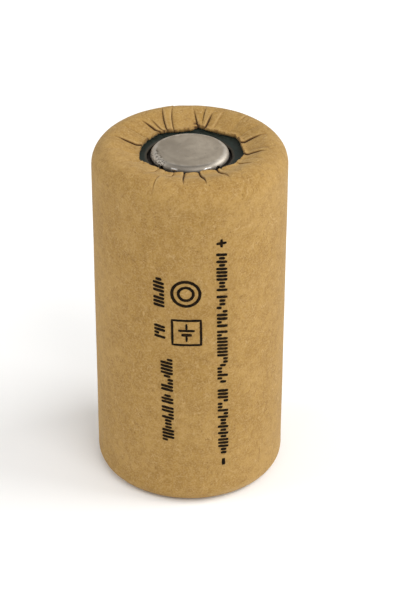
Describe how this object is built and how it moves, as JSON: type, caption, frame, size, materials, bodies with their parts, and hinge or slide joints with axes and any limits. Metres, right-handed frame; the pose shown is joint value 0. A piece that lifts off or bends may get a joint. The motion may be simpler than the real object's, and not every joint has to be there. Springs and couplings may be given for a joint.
{
  "type": "cylindrical battery cell",
  "caption": "Sealed cylindrical rechargeable cell with a raised positive cap, a wound core and a kraft paper sleeve folded over both ends.",
  "frame": {"origin": "centre of the plane that the sleeve's lower fold stands on, at the negative end", "axes": "+Z along the cell's axis towards the positive cap; -Y is the side that carries the printed marks"},
  "size_m": [0.0226, 0.0226, 0.043],
  "materials": {
    "kraft_paper": "matte",
    "fish_paper": "matte",
    "nickel_plate": "satin",
    "spring_wire": "satin",
    "seal_rubber": "matte",
    "cover_steel": "satin",
    "nylon": "satin",
    "bitumen": "gloss",
    "can_steel": "satin",
    "insulator_card": "matte",
    "lead_nickel": "satin",
    "collector_steel": "satin",
    "perforated_foil": "satin",
    "positive_paste": "matte",
    "separator_felt": "matte",
    "negative_paste": "matte"
  },
  "bodies": {
    "cell": {"paper_sleeve": "kraft_paper", "insulating_washer": "fish_paper", "positive_cap": "nickel_plate", "vent_spring": "spring_wire", "cover_plate": "cover_steel", "sealing_gasket": "nylon", "sealant_film": "bitumen", "cell_can": "can_steel", "upper_insulator": "insulator_card", "positive_lead": "lead_nickel", "positive_collector": "collector_steel", "positive_foil": "perforated_foil", "positive_layers": "positive_paste", "separator_inner": "separator_felt", "separator_outer": "separator_felt", "negative_foil": "perforated_foil", "negative_layers": "negative_paste", "negative_collector": "collector_steel"},
    "vent_valve": {"vent_seal": "seal_rubber", "vent_plate": "nickel_plate"}
  },
  "joints": [
    {"name": "vent_lift", "type": "slide", "parent": "cell", "child": "vent_valve", "axis": [0, 0, 1], "range_m": [0, 0.0003], "stiffness_N_per_m": 5000, "deforming": ["vent_spring"]}
  ]
}
